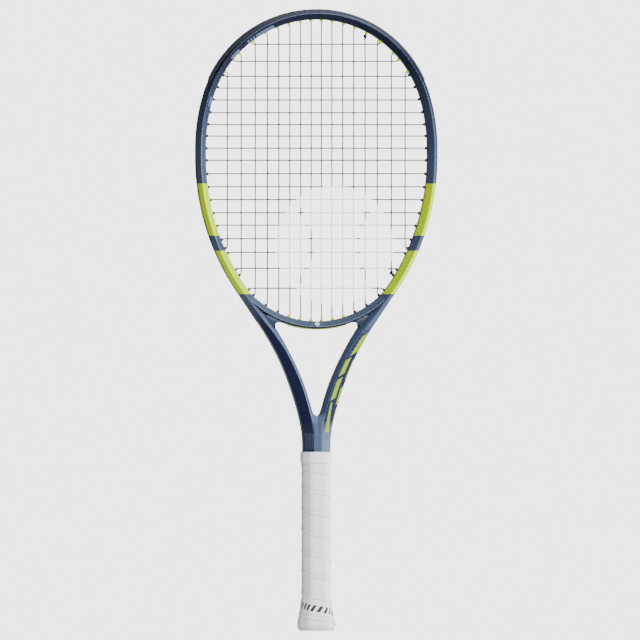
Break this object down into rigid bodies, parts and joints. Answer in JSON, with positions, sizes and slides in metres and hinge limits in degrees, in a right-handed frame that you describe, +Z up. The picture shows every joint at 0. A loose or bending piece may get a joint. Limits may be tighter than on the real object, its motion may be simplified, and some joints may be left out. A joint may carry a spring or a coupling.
{
  "type": "tennis racket",
  "caption": "Strung adult tennis racket with an oval hoop, open throat, bridge, string bed and a white wrapped eight-sided handle.",
  "frame": {"origin": "centre of the flat end of the butt, at the racket's lowest point", "axes": "+Z up the racket from the butt to the crown of the head, X across the strings, -Y out of the front face"},
  "size_m": [0.269, 0.0392, 0.6858],
  "materials": {
    "frame_paint": "gloss",
    "bumper_plastic": "satin",
    "yellow_grommet": "satin",
    "black_grommet": "satin",
    "string_cord": "satin",
    "pallet_foam": "matte",
    "butt_plastic": "satin",
    "staple_wire": "satin",
    "grip_wrap": "matte",
    "tape_band": "matte",
    "collar_rubber": "matte"
  },
  "bodies": {
    "racket": {"frame_hairpin": "frame_paint", "throat_bridge": "frame_paint", "bumper_guard": "bumper_plastic", "crown_grommet_strip": "yellow_grommet", "side_grommet_strip_left": "black_grommet", "side_grommet_strip_right": "black_grommet", "bridge_grommet_strip": "yellow_grommet", "bridge_end_grommets": "black_grommet", "string": "string_cord", "string_knots": "string_cord", "pallet_front": "pallet_foam", "pallet_back": "pallet_foam", "butt_cap": "butt_plastic", "butt_cap_staples": "staple_wire", "grip_start_staple": "staple_wire", "grip_tape": "grip_wrap", "finishing_tape": "tape_band"},
    "collar": {"grip_collar": "collar_rubber"},
    "plug": {"butt_plug": "butt_plastic"}
  },
  "joints": [
    {"name": "collar_slide", "type": "slide", "parent": "racket", "child": "collar", "axis": [0, 0, 1], "range_m": [0, 0.009]},
    {"name": "plug_pull", "type": "slide", "parent": "racket", "child": "plug", "axis": [0, 0, -1], "range_m": [0, 0.015]}
  ]
}
